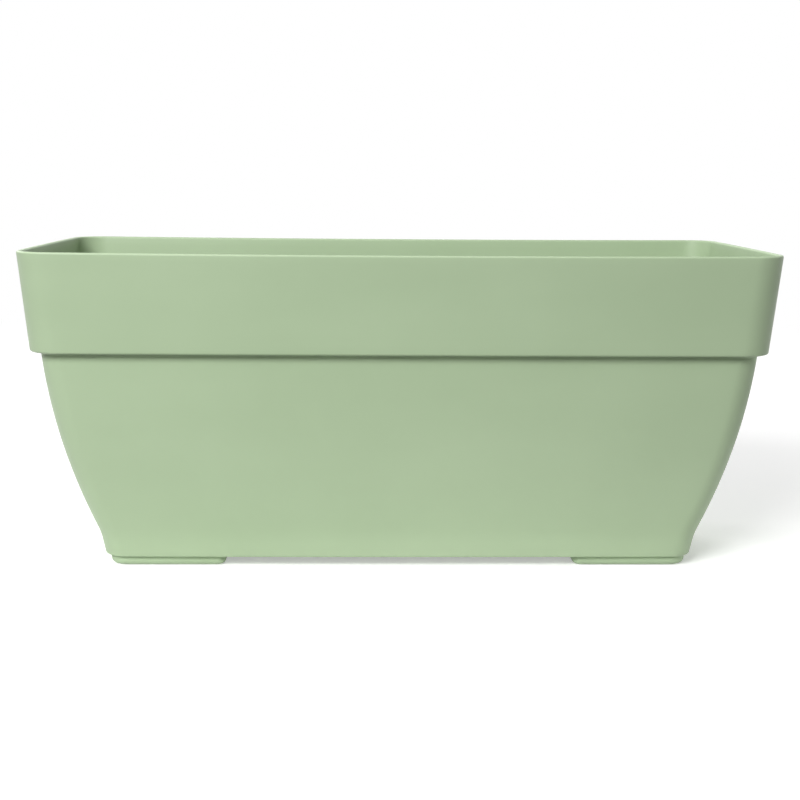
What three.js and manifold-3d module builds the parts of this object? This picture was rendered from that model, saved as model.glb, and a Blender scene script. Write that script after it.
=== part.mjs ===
// Trough planter in moulded plastic: a shell with a tall collar, four push-in feet,
// a lift-out perforated plate over a water reserve, and two drain plugs.
// Millimetres, +X along the length, the front faces -Y, +Z up, z = 0 under the feet.
import * as THREE from 'three';
import { LoftGeometry } from 'three/addons/geometries/LoftGeometry.js';
import { mergeVertices } from 'three/addons/utils/BufferGeometryUtils.js';
import Module from 'manifold-3d';

const wasm = await Module();
wasm.setup();

// Overall size over the rim
const length = 500;
const depth = 220;
const height = 216;

// Collar. A draft is the sideways run for each millimetre of height.
const collarHeight = 65.7;
const collarDraft = 0.083;
const collarWall = 3.2;
const collarEdgeRadius = 1.4;
const ledge = 6.65;
const ledgeFillet = 2;
const ledgeShoulderRadius = 3.4; // where the inner wall turns out onto the ledge
const collarFootRadius = 1; // where the ledge turns up into the collar, inside
const rimRadius = 1.4;
const rimSag = 0.9;
const rimCornerRadius = 22;

// Body below the collar
const wall = 2.8;
const bellyTopDraft = 0.098;
const bellyFootDraft = 0.402;
const plinthHeight = 15.5;
const plinthDraft = 0.19;
const plinthBlend = 3;
const sideDraftShare = 0.74; // the front and back lean this share of what the ends do
const bodyCornerRadius = 17;
const baseCornerRadius = 15;
const baseEdgeRadius = 1.2;
const floorThickness = 2.8;
const floorFillet = 5;
const longWallBow = 1.4;
const endWallBow = 1;

// Feet
const footHeight = 6.7;
const footLength = 79.7;
const footDepth = 42;
const footInset = 4.4; // in from the outline of the base
const footOuterRadius = 12;
const footInnerRadius = 6;
const footEdgeRadius = 3.6;
const seamGap = 0.3;
const pegRadius = 4;
const pegLength = 9;
const pegPitch = 44;
const pegClearance = 0.3;
const bossWall = 2.4;
const bossTopThickness = 2.2;

// Drain spouts and their plugs
const spoutPitch = 104;
const spoutHeight = 18; // above the floor
const spoutBoreRadius = 9;
const spoutWall = 2.5;
const spoutFlare = 1; // how much wider the spout is at its foot
const plugClearance = 0.3;
const plugShankLength = 10;
const plugShankDraft = 0.05;
const plugTipChamfer = 1;
const plugFlangeRadius = 12;
const plugFlangeThickness = 2;
const plugStemRadius = 3;
const plugStemHeight = 3.5;
const plugKnobRadius = 6.5;
const plugKnobThickness = 3;
const plugEdgeChamfer = 0.8;

// Reservoir plate
const plateHeight = 40; // from the floor up to the plate's top face
const plateThickness = 2.5;
const plateClearance = 1.2;
const skirtHeight = 8;
const skirtThickness = 2.2;
const wellPitch = 250;
const wellLength = 58;
const wellDepth = 46;
const wellTaper = 0.12;
const wellCornerRadius = 8;
const wellWall = 2;
const wellSlotWidth = 3;
const wellSlotPitch = 12;
const wellSlotMargin = 4; // left whole above and below the wells' slots
const fingerHoleLength = 60;
const fingerHoleDepth = 34;
const fingerHoleRadius = 8;
const fingerLipWall = 2.2;
const fingerLipHeight = 3;
const slotLength = 24;
const slotWidth = 4;
const slotPitchX = 33;
const slotPitchY = 17;
const slotEdge = 9; // least material from a slot to the plate's edge
const slotBridge = 3; // least material from a slot to a well or a finger hole
const restGap = 0.3; // under a piece that rests on another

// Facets
const cornerSteps = 5;
const longSideSteps = 6;
const endSideSteps = 3;
const bellySteps = 7;
const arcSteps = 3;
const roundSides = 24;
const overshoot = 2; // how far a cutting solid runs past the face that it opens
const sink = 1; // how far a joined solid reaches into the one that carries it

// Heights that follow from the sizes above
const collarFootZ = height - collarHeight;
const bellyTopZ = collarFootZ - ledgeFillet;
const plinthTopZ = footHeight + plinthHeight;
const floorZ = footHeight + floorThickness;
const plateTopZ = floorZ + plateHeight;
const plateBottomZ = plateTopZ - plateThickness;
const spoutTopZ = floorZ + spoutHeight;

// How far the outer face stands in from the rim's outline at a height.
const collarInset = (z) => collarDraft * (height - rimRadius - z);
const bodyTopInset = collarInset(collarFootZ) + ledge;
const bellyHeight = bellyTopZ - plinthTopZ;

function bellyLean(z) {
  const down = THREE.MathUtils.clamp(bellyTopZ - z, 0, bellyHeight);
  const growth = (bellyFootDraft - bellyTopDraft) / (2 * bellyHeight);
  return bellyTopDraft * down + growth * down * down;
}

// The belly runs into the plinth through a short blend.
function bodyLean(z) {
  const below = Math.max(plinthTopZ - z, 0);
  const near = Math.max(1 - Math.abs(z - plinthTopZ) / plinthBlend, 0);
  const turn = (bellyFootDraft - plinthDraft) * plinthBlend / 4;
  return bellyLean(z) + plinthDraft * below - turn * near * near;
}

// One level of the wall: its height, its insets along the length and the depth, its plan radius.
function bodyLevel(z, offset) {
  const lean = bodyLean(z);
  const share = (bellyTopZ - z) / (bellyTopZ - footHeight);
  return {
    z,
    insetX: bodyTopInset + lean + offset,
    insetY: bodyTopInset + lean * sideDraftShare + offset,
    radius: THREE.MathUtils.lerp(bodyCornerRadius, baseCornerRadius, share) - offset,
  };
}

function collarLevel(z, offset) {
  const inset = collarInset(z) + offset;
  return { z, insetX: inset, insetY: inset, radius: rimCornerRadius - offset };
}

// A quarter turn in equal steps: sideways and upward shares of its radius.
function quarter(visit) {
  for (let i = 0; i <= arcSteps; i++) {
    const angle = (i / arcSteps) * Math.PI / 2;
    visit(Math.sin(angle), Math.cos(angle));
  }
}

// Closed rounded rectangle, counterclockwise from above, with bowed sides.
function planRing(spec) {
  const { halfX, halfY, radius, bowX = 0, bowY = 0, centreX = 0, centreY = 0 } = spec;
  const coreX = halfX - bowX;
  const coreY = halfY - bowY;
  const r = Math.min(radius, coreX, coreY);
  const points = [];
  for (let corner = 0; corner < 4; corner++) {
    const signX = corner === 0 || corner === 3 ? 1 : -1;
    const signY = corner < 2 ? 1 : -1;
    for (let i = 0; i <= cornerSteps; i++) {
      const angle = (corner + i / cornerSteps) * Math.PI / 2;
      const x = signX * (coreX - r) + r * Math.cos(angle);
      const y = signY * (coreY - r) + r * Math.sin(angle);
      points.push(new THREE.Vector2(x, y));
    }
    const steps = corner % 2 === 0 ? spec.stepsX ?? 1 : spec.stepsY ?? 1;
    const start = points[points.length - 1].clone();
    const end = corner % 2 === 0
      ? new THREE.Vector2(-start.x, start.y)
      : new THREE.Vector2(start.x, -start.y);
    for (let i = 1; i < steps; i++) {
      points.push(start.clone().lerp(end, i / steps));
    }
  }
  return points.map((p) => {
    const x = p.x * (1 + (bowX / coreX) * (1 - (p.y / coreY) ** 2));
    const y = p.y * (1 + (bowY / coreY) * (1 - (p.x / coreX) ** 2));
    return new THREE.Vector2(x + centreX, y + centreY);
  });
}

// The trough's outline at a level, with the rim's sag fading out down the collar.
function troughSection(level) {
  const halfX = length / 2 - level.insetX;
  const ring = planRing({
    halfX,
    halfY: depth / 2 - level.insetY,
    radius: level.radius,
    bowX: endWallBow,
    bowY: longWallBow,
    stepsX: longSideSteps,
    stepsY: endSideSteps,
  });
  const upCollar = Math.max((level.z - collarFootZ) / collarHeight, 0);
  const sag = rimSag * upCollar * upCollar;
  return ring.map((p) => {
    const z = level.z - sag * Math.max(1 - (p.x / halfX) ** 2, 0);
    return new THREE.Vector3(p.x, p.y, z);
  });
}

// Solids
function solidOf(geometry) {
  const plain = new THREE.BufferGeometry();
  plain.setAttribute('position', geometry.getAttribute('position'));
  plain.setIndex(geometry.getIndex());
  const merged = mergeVertices(plain, 1e-4);
  return new wasm.Manifold(new wasm.Mesh({
    numProp: 3,
    vertProperties: merged.attributes.position.array,
    triVerts: new Uint32Array(merged.index.array),
  }));
}

function meshOf(name, solid, material) {
  const { vertProperties, triVerts } = solid.getMesh();
  const geometry = new THREE.BufferGeometry();
  geometry.setAttribute('position', new THREE.BufferAttribute(vertProperties, 3));
  geometry.setIndex(new THREE.BufferAttribute(triVerts, 1));
  const flat = geometry.toNonIndexed();
  flat.computeVertexNormals();
  const mesh = new THREE.Mesh(flat, material);
  mesh.name = name;
  return mesh;
}

const loft = (sections) => solidOf(new LoftGeometry(sections, { capStart: true, capEnd: true }));

function cylinder(radius, bottomZ, topZ, x, y, topRadius = radius) {
  const geometry = new THREE.CylinderGeometry(topRadius, radius, topZ - bottomZ, roundSides);
  geometry.rotateX(Math.PI / 2);
  geometry.translate(x, y, (bottomZ + topZ) / 2);
  return solidOf(geometry);
}

function block(sizeX, sizeY, bottomZ, topZ, x, y) {
  const geometry = new THREE.BoxGeometry(sizeX, sizeY, topZ - bottomZ);
  geometry.translate(x, y, (bottomZ + topZ) / 2);
  return solidOf(geometry);
}

const joined = (solids) => solids.reduce((sum, solid) => sum.add(solid));
const sides = [-1, 1];

// Shell
function outerLevels() {
  const levels = [];
  const edgeZ = footHeight + baseEdgeRadius;
  quarter((sin, cos) => {
    const z = edgeZ - baseEdgeRadius * cos;
    const level = bodyLevel(z, baseEdgeRadius * (1 - sin));
    levels.push(level);
  });
  levels.push(bodyLevel(plinthTopZ - plinthBlend, 0));
  levels.push(bodyLevel(plinthTopZ, 0));
  for (let i = 0; i <= bellySteps; i++) {
    const z = THREE.MathUtils.lerp(plinthTopZ + plinthBlend, bellyTopZ, i / bellySteps);
    levels.push(bodyLevel(z, 0));
  }
  quarter((sin, cos) => {
    if (sin === 0) return;
    levels.push(bodyLevel(bellyTopZ + ledgeFillet * sin, ledgeFillet * (cos - 1)));
  });
  quarter((sin, cos) => {
    const z = collarFootZ + collarEdgeRadius * (1 - cos);
    levels.push(collarLevel(z, collarEdgeRadius * (1 - sin)));
  });
  quarter((sin, cos) => {
    const z = height - rimRadius + rimRadius * sin;
    levels.push(collarLevel(z, rimRadius * (1 - cos)));
  });
  return levels;
}

function cavityLevels() {
  const levels = [];
  quarter((sin, cos) => {
    const z = floorZ + floorFillet * (1 - cos);
    levels.push(bodyLevel(z, wall + floorFillet * (1 - sin)));
  });
  levels.push(bodyLevel(plinthTopZ, wall));
  const ledgeTopZ = collarFootZ + wall;
  const shoulderZ = ledgeTopZ - ledgeShoulderRadius;
  for (let i = 0; i <= bellySteps; i++) {
    const z = THREE.MathUtils.lerp(plinthTopZ + plinthBlend, shoulderZ, i / bellySteps);
    levels.push(bodyLevel(z, wall));
  }
  quarter((sin, cos) => {
    if (sin === 0) return;
    const z = shoulderZ + ledgeShoulderRadius * sin;
    levels.push(bodyLevel(z, wall + ledgeShoulderRadius * (cos - 1)));
  });
  quarter((sin, cos) => {
    const z = ledgeTopZ + collarFootRadius * (1 - cos);
    levels.push(collarLevel(z, collarWall + collarFootRadius * (1 - sin)));
  });
  quarter((sin, cos) => {
    const z = height - rimRadius + rimRadius * sin;
    levels.push(collarLevel(z, collarWall - rimRadius * (1 - cos)));
  });
  const top = levels[levels.length - 1];
  levels.push({ ...top, z: height + overshoot });
  return levels;
}

// Where the feet stand, from the base outline
const base = bodyLevel(footHeight + baseEdgeRadius, 0);
const footOuterX = length / 2 - base.insetX - footInset;
const footOuterY = depth / 2 - base.insetY - footInset;
const footCentreX = footOuterX - footLength / 2;
const footCentreY = footOuterY - footDepth / 2;
const bossTopZ = footHeight + pegLength + bossTopThickness;

// Where the pegs stand, the same for the feet and for the sockets in the base.
function pegSpots(sideX, sideY) {
  return sides.map((endward) => ({
    x: sideX * footCentreX + endward * pegPitch / 2,
    y: sideY * footCentreY,
  }));
}

function troughShell() {
  let solid = loft(outerLevels().map(troughSection)).subtract(loft(cavityLevels().map(troughSection)));
  const spoutRadius = spoutBoreRadius + spoutWall;
  const sockets = sides.flatMap((sideX) => sides.flatMap((sideY) => pegSpots(sideX, sideY)));
  for (const side of sides) {
    const x = side * spoutPitch / 2;
    solid = solid.add(cylinder(spoutRadius + spoutFlare, floorZ - sink, spoutTopZ, x, 0, spoutRadius));
  }
  for (const spot of sockets) {
    solid = solid.add(cylinder(pegRadius + bossWall, floorZ - sink, bossTopZ, spot.x, spot.y));
  }
  for (const side of sides) {
    const x = side * spoutPitch / 2;
    solid = solid.subtract(cylinder(
      spoutBoreRadius, footHeight - overshoot, spoutTopZ + overshoot, x, 0));
  }
  for (const spot of sockets) {
    const topZ = footHeight + pegLength + pegClearance;
    solid = solid.subtract(cylinder(
      pegRadius + pegClearance, footHeight - overshoot, topZ, spot.x, spot.y));
  }
  return solid;
}

// Foot: a low pad, flat on top and rounded below, with two pegs.
function foot(sideX, sideY) {
  const shape = new THREE.Shape();
  const halfX = footLength / 2 - footEdgeRadius;
  const halfY = footDepth / 2 - footEdgeRadius;
  const corners = [[1, 1], [-1, 1], [-1, -1], [1, -1]];
  corners.forEach(([x, y], i) => {
    const outer = x === sideX && y === sideY;
    const r = (outer ? footOuterRadius : footInnerRadius) - footEdgeRadius;
    const start = i * Math.PI / 2;
    shape.absarc(x * (halfX - r), y * (halfY - r), r, start, start + Math.PI / 2, false);
  });
  shape.closePath();
  const topZ = footHeight - seamGap;
  const round = new THREE.ExtrudeGeometry(shape, {
    depth: topZ,
    bevelThickness: footEdgeRadius,
    bevelSize: footEdgeRadius,
    bevelSegments: arcSteps,
    curveSegments: cornerSteps - 1,
  });
  round.translate(sideX * footCentreX, sideY * footCentreY, footEdgeRadius);
  const above = block(
    footLength + overshoot, footDepth + overshoot, topZ, 2 * topZ + 2 * footEdgeRadius,
    sideX * footCentreX, sideY * footCentreY);
  const pad = solidOf(round).subtract(above);
  const pegs = pegSpots(sideX, sideY).map((spot) =>
    cylinder(pegRadius, topZ - sink, footHeight + pegLength, spot.x, spot.y));
  return joined([pad, ...pegs]);
}

// Reservoir plate
function plateSection(z, offset) {
  return troughSection(bodyLevel(z, wall + plateClearance + offset));
}

function wellSection(z, offset, x) {
  const lean = (plateTopZ - z) * wellTaper + offset;
  const ring = planRing({
    halfX: wellLength / 2 - lean,
    halfY: wellDepth / 2 - lean,
    radius: wellCornerRadius - offset,
    centreX: x,
  });
  return ring.map((p) => new THREE.Vector3(p.x, p.y, z));
}

function fingerSection(z, offset, x) {
  const ring = planRing({
    halfX: fingerHoleLength / 2 + offset,
    halfY: fingerHoleDepth / 2 + offset,
    radius: fingerHoleRadius + offset,
    centreX: x,
  });
  return ring.map((p) => new THREE.Vector3(p.x, p.y, z));
}

function wellSlots(x) {
  const bottomZ = floorZ + restGap + wellSlotMargin;
  const topZ = plateBottomZ - wellSlotMargin;
  const cutters = [];
  for (const step of [-1, 0, 1]) {
    const shift = step * wellSlotPitch;
    cutters.push(block(wellSlotWidth, wellDepth + overshoot, bottomZ, topZ, x + shift, 0));
    cutters.push(block(wellLength + overshoot, wellSlotWidth, bottomZ, topZ, x, shift));
  }
  return joined(cutters);
}

// Slots in rows, left out where a well or a finger hole is.
function plateSlots() {
  const level = bodyLevel(plateBottomZ, wall + plateClearance + skirtThickness);
  const reachX = length / 2 - level.insetX - slotEdge - slotLength / 2;
  const reachY = depth / 2 - level.insetY - slotEdge - slotWidth / 2;
  const countX = Math.floor(reachX / slotPitchX);
  const countY = Math.floor(reachY / slotPitchY);
  const keepOut = sides.flatMap((side) => [
    { x: side * wellPitch / 2, halfX: wellLength / 2, halfY: wellDepth / 2 },
    {
      x: side * spoutPitch / 2,
      halfX: fingerHoleLength / 2 + fingerLipWall,
      halfY: fingerHoleDepth / 2 + fingerLipWall,
    },
  ]);
  const cutters = [];
  for (let i = -countX; i <= countX; i++) {
    for (let j = -countY; j <= countY; j++) {
      const x = i * slotPitchX;
      const y = j * slotPitchY;
      const blocked = keepOut.some((k) =>
        Math.abs(x - k.x) < k.halfX + slotLength / 2 + slotBridge &&
        Math.abs(y) < k.halfY + slotWidth / 2 + slotBridge);
      if (blocked) continue;
      cutters.push(block(
        slotLength, slotWidth, plateBottomZ - overshoot, plateTopZ + overshoot, x, y));
    }
  }
  return joined(cutters);
}

function reservoirPlate() {
  const skirtZ = plateBottomZ - skirtHeight;
  const lipZ = plateBottomZ - fingerLipHeight;
  const wellBottomZ = floorZ + restGap;
  let solid = loft([plateSection(skirtZ, 0), plateSection(plateTopZ, 0)]);
  solid = solid.subtract(loft([
    plateSection(skirtZ - overshoot, skirtThickness),
    plateSection(plateBottomZ, skirtThickness),
  ]));
  for (const side of sides) {
    const x = side * spoutPitch / 2;
    const wellX = side * wellPitch / 2;
    solid = solid.add(loft([
      fingerSection(lipZ, fingerLipWall, x),
      fingerSection(plateBottomZ + sink, fingerLipWall, x),
    ]));
    solid = solid.add(loft([
      wellSection(wellBottomZ, 0, wellX),
      wellSection(plateTopZ, 0, wellX),
    ]));
  }
  for (const side of sides) {
    const x = side * spoutPitch / 2;
    const wellX = side * wellPitch / 2;
    solid = solid.subtract(loft([
      fingerSection(lipZ - overshoot, 0, x),
      fingerSection(plateTopZ + overshoot, 0, x),
    ]));
    solid = solid.subtract(loft([
      wellSection(wellBottomZ + wellWall, wellWall, wellX),
      wellSection(plateTopZ + overshoot, wellWall, wellX),
    ]));
    solid = solid.subtract(wellSlots(wellX));
  }
  return solid.subtract(plateSlots());
}

// Drain plug, turned about its own axis: shank in the spout, flange on top of it, stem and knob.
function drainPlug(side) {
  const shankRadius = spoutBoreRadius - plugClearance;
  const tipRadius = shankRadius - plugShankDraft * plugShankLength;
  const flangeZ = spoutTopZ + restGap;
  const stemZ = flangeZ + plugFlangeThickness;
  const knobZ = stemZ + plugStemHeight;
  const knobTopZ = knobZ + plugKnobThickness;
  const tipZ = flangeZ - plugShankLength;
  const profile = [
    [0, tipZ],
    [tipRadius - plugTipChamfer, tipZ],
    [tipRadius, tipZ + plugTipChamfer],
    [shankRadius, flangeZ],
    [plugFlangeRadius, flangeZ],
    [plugFlangeRadius, stemZ - plugEdgeChamfer],
    [plugFlangeRadius - plugEdgeChamfer, stemZ],
    [plugStemRadius, stemZ],
    [plugStemRadius, knobZ],
    [plugKnobRadius - plugEdgeChamfer, knobZ],
    [plugKnobRadius, knobZ + plugEdgeChamfer],
    [plugKnobRadius, knobTopZ - plugEdgeChamfer],
    [plugKnobRadius - plugEdgeChamfer, knobTopZ],
    [0, knobTopZ],
  ].map(([r, z]) => new THREE.Vector2(r, z));
  const geometry = new THREE.LatheGeometry(profile, roundSides);
  geometry.rotateX(Math.PI / 2);
  geometry.translate(side * spoutPitch / 2, 0, 0);
  return solidOf(geometry);
}

// Materials and assembly
const plastic = (color, roughness) =>
  new THREE.MeshStandardMaterial({ color, roughness, metalness: 0 });

const trough = new THREE.Group();
trough.add(meshOf('trough_shell', troughShell(), plastic('#adc2a0', 0.45)));
for (const [end, sideX] of [['left', -1], ['right', 1]]) {
  for (const [row, sideY] of [['front', -1], ['rear', 1]]) {
    trough.add(meshOf(`${row}_${end}_foot`, foot(sideX, sideY), plastic('#a9be9c', 0.5)));
  }
  trough.add(meshOf(`drain_plug_${end}`, drainPlug(sideX), plastic('#2e332e', 0.7)));
}
trough.add(meshOf('reservoir_plate', reservoirPlate(), plastic('#4d5a4a', 0.6)));

export default trough;
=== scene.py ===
import math

import bmesh
import bpy
from mathutils import Matrix, Vector


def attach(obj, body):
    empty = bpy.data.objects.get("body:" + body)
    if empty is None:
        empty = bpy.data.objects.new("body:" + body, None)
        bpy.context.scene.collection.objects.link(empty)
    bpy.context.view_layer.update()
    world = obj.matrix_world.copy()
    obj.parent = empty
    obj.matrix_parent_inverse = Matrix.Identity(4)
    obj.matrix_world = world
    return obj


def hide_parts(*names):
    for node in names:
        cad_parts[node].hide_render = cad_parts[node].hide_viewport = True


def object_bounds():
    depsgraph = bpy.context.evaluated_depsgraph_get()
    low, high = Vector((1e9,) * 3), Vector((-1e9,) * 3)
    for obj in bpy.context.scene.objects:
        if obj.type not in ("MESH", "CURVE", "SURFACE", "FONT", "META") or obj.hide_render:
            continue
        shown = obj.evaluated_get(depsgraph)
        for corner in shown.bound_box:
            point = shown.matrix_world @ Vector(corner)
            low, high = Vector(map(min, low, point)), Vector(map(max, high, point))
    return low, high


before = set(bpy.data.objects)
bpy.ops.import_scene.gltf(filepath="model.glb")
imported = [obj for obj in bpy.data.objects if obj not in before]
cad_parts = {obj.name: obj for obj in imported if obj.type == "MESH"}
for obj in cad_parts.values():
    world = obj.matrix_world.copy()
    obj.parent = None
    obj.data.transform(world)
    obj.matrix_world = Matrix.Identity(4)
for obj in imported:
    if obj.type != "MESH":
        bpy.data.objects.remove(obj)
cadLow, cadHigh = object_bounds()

mm = 0.001
weld = 0.004 * mm  # points this close are one point
sliver = 0.002 * mm  # edges this short are dissolved
print("frame loaded:", ", ".join(sorted(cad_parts)))


def linkedPiece(name, mesh):
    piece = bpy.data.objects.new(name, mesh)
    bpy.context.scene.collection.objects.link(piece)
    return piece


def meshFrom(name, build):
    bm = bmesh.new()
    build(bm)
    bmesh.ops.remove_doubles(bm, verts=bm.verts, dist=weld)
    bmesh.ops.recalc_face_normals(bm, faces=bm.faces)
    mesh = bpy.data.meshes.new(name)
    bm.to_mesh(mesh)
    bm.free()
    return mesh


# Joins rings of points, all of one length, into a closed body with flat ends.
def stackRings(bm, rings):
    loops = [[bm.verts.new(point) for point in ring] for ring in rings]
    for lower, upper in zip(loops, loops[1:]):
        for i in range(len(lower)):
            j = (i + 1) % len(lower)
            bm.faces.new((lower[i], lower[j], upper[j], upper[i]))
    bm.faces.new(list(reversed(loops[0])))
    bm.faces.new(loops[-1])


# A body turned about a vertical axis through x and y. Its profile of (radius, height) starts and
# ends on that axis. All of it is in metres.
def turned(name, profile, steps=96, x=0.0, y=0.0):
    def build(bm):
        for i in range(steps):
            turns = [2 * math.pi * (i + k) / steps for k in (0, 1)]
            for (r0, z0), (r1, z1) in zip(profile, profile[1:]):
                corners = []
                for r, z, k in ((r0, z0, 0), (r0, z0, 1), (r1, z1, 1), (r1, z1, 0)):
                    if r == 0 and k == 1:
                        continue
                    spot = (x + r * math.cos(turns[k]), y + r * math.sin(turns[k]), z)
                    corners.append(bm.verts.new(spot))
                if len(corners) > 2:
                    bm.faces.new(corners)
    return linkedPiece(name, meshFrom(name, build))


# A rounding in such a profile; 0 degrees points outwards and 90 up.
def arc(centreR, centreZ, radius, fromDegrees, toDegrees, steps=6):
    points = []
    for i in range(steps + 1):
        angle = math.radians(fromDegrees + (toDegrees - fromDegrees) * i / steps)
        points.append((centreR + radius * math.cos(angle), centreZ + radius * math.sin(angle)))
    return points


# Rounded rectangle in plan; radii go round from the +X +Y corner.
def plainRing(halfX, halfY, radii, z, x=0.0, y=0.0, cornerSteps=10):
    ring = []
    for corner, (signX, signY) in enumerate(((1, 1), (-1, 1), (-1, -1), (1, -1))):
        r = min(radii[corner], halfX, halfY)
        for i in range(cornerSteps + 1):
            angle = (corner + i / cornerSteps) * math.pi / 2
            spotX = x + signX * (halfX - r) + r * math.cos(angle)
            spotY = y + signY * (halfY - r) + r * math.sin(angle)
            ring.append(Vector((spotX, spotY, z)))
    return ring


def evaluatedMesh(piece):
    bpy.context.view_layer.update()
    graph = bpy.context.evaluated_depsgraph_get()
    return bpy.data.meshes.new_from_object(piece.evaluated_get(graph))


# Joins or cuts with closed bodies, which are used up.
def carve(piece, operation, tools):
    for tool in tools:
        step = piece.modifiers.new(operation, "BOOLEAN")
        step.operation = operation
        step.solver = "EXACT"
        step.object = tool
    mesh = evaluatedMesh(piece)
    piece.modifiers.clear()
    piece.data = mesh
    for tool in tools:
        bpy.data.objects.remove(tool)
    return piece


def finishMesh(piece, material, sharpDegrees=32):
    bm = bmesh.new()
    bm.from_mesh(piece.data)
    bmesh.ops.remove_doubles(bm, verts=bm.verts, dist=weld)
    bmesh.ops.dissolve_degenerate(bm, edges=bm.edges, dist=sliver)
    bm.to_mesh(piece.data)
    bm.free()
    piece.data.materials.clear()
    piece.data.materials.append(material)
    for face in piece.data.polygons:
        face.use_smooth = True
        face.material_index = 0
    piece.data.set_sharp_from_angle(angle=math.radians(sharpDegrees))
    return piece


# Sets a socket, or links it where the value is another node's output.
def plug(tree, value, socket):
    if isinstance(value, bpy.types.NodeSocket):
        tree.links.new(value, socket)
    else:
        socket.default_value = value


def maths(tree, operation, *values, clamp=False):
    step = tree.nodes.new("ShaderNodeMath")
    step.operation = operation
    step.use_clamp = clamp
    for value, socket in zip(values, step.inputs):
        plug(tree, value, socket)
    return step.outputs[0]


# A new node. Its settings are the node's own, and From_Min stands for the socket From Min.
def made(tree, kind, settings=None, **inputs):
    step = tree.nodes.new(kind)
    for key, value in (settings or {}).items():
        setattr(step, key, value)
    for key, value in inputs.items():
        plug(tree, value, step.inputs[key.replace("_", " ")])
    return step


def newTree(name, floats, whole):
    tree = bpy.data.node_groups.new(name, "GeometryNodeTree")
    tree.interface.new_socket("Geometry", in_out="INPUT", socket_type="NodeSocketGeometry")
    for labels, kind in ((floats, "Float"), (whole, "Int"), (["Material"], "Material")):
        for label in labels:
            tree.interface.new_socket(label, in_out="INPUT", socket_type="NodeSocket" + kind)
    tree.interface.new_socket("Geometry", in_out="OUTPUT", socket_type="NodeSocketGeometry")
    return tree, tree.nodes.new("NodeGroupInput").outputs


def closeTree(tree, geometry, material):
    real = made(tree, "GeometryNodeRealizeInstances", Geometry=geometry)
    painted = made(tree, "GeometryNodeSetMaterial", Geometry=real.outputs[0], Material=material)
    out = tree.nodes.new("NodeGroupOutput")
    tree.links.new(painted.outputs[0], out.inputs[0])


# Runs a tree on a starting mesh and keeps the result as a plain mesh.
def grown(name, tree, startMesh, values):
    holder = linkedPiece(name + "Start", startMesh)
    step = holder.modifiers.new("Grow", "NODES")
    step.node_group = tree
    for item in tree.interface.items_tree:
        if item.item_type == "SOCKET" and item.in_out == "INPUT" and item.name in values:
            step[item.identifier] = values[item.name]
    mesh = evaluatedMesh(holder)
    bpy.data.objects.remove(holder)
    mesh.name = name
    return linkedPiece(name, mesh)


# The finishes: colours are linear, sizes and depths are in metres. Each paints a highlight along sharp edges
# and shade into creases, in the shares given last.
sagePlastic = {
    "colour": (0.431, 0.546, 0.358),
    "shade": (0.401, 0.513, 0.331),  # where the pigment is a touch denser
    "cloudSize": 0.16,
    "grainSize": 0.0006,
    "grainDepth": 0.000012,
    "rippleSize": 0.045,
    "rippleDepth": 0.00006,
    "roughness": (0.36, 0.46),
    "shine": 0.32,
    "edgeHighlight": 0.22,
    "creaseShade": 0.85,
}
# the shell also gets a painted highlight on the upward-facing top of its rim
shellPlastic = dict(sagePlastic, rimHighlight=0.35, rimFrom=0.205)  # the rim is what lies above rimFrom
footPlastic = dict(sagePlastic, colour=(0.424, 0.540, 0.354), roughness=(0.42, 0.52))
plateGreen = {
    "colour": (0.062, 0.086, 0.058),
    "shade": (0.045, 0.066, 0.044),
    "cloudSize": 0.05,
    "grainSize": 0.0009,
    "grainDepth": 0.00004,
    "rippleSize": 0.02,
    "rippleDepth": 0.00003,
    "roughness": (0.52, 0.66),
    "shine": 0.45,
    "edgeHighlight": 0.18,
    "creaseShade": 0.30,
}
plugRubber = {
    "colour": (0.017, 0.019, 0.017),
    "shade": (0.011, 0.012, 0.011),
    "cloudSize": 0.02,
    "grainSize": 0.0005,
    "grainDepth": 0.00003,
    "rippleSize": 0.01,
    "rippleDepth": 0.00002,
    "roughness": (0.62, 0.78),
    "shine": 0.4,
    "edgeHighlight": 0.25,
    "creaseShade": 0.20,
}


# What all the moulded finishes share. A band is the pair of values between which a mark fades in.
mouldMarks = {
    "ior": 1.49,
    "cloudBand": (0.38, 0.62),
    "cloudDetail": 3.0,
    "streakShare": 0.35,  # the broad clouds have the rest
    "streaksPerCloud": 3,
    "streakDetail": 2.0,
    "streakStretch": (0.25, 1, 1),
    # The bands and values below set where the painted highlight on edges and on the rim top, and the painted
    # shade in creases, fall, and how pale and how dark they are.
    "edgeBand": (0.52, 0.60),  # of pointiness, which is 0.5 where the skin is flat
    "creaseBand": (0.49, 0.455),
    "upwardBand": (0.15, 0.75),
    "highlightGain": 1.6,
    "highlightLift": 0.02,
    # the colour of the painted shade in creases
    "creaseShadeTone": 0.4,  # times the square of the denser colour
    "patchBand": (0.35, 0.65),
    "patchesPerCloud": 2.5,
    "patchDetail": 4.0,
    "bumpDetail": 1.0,
}


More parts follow.
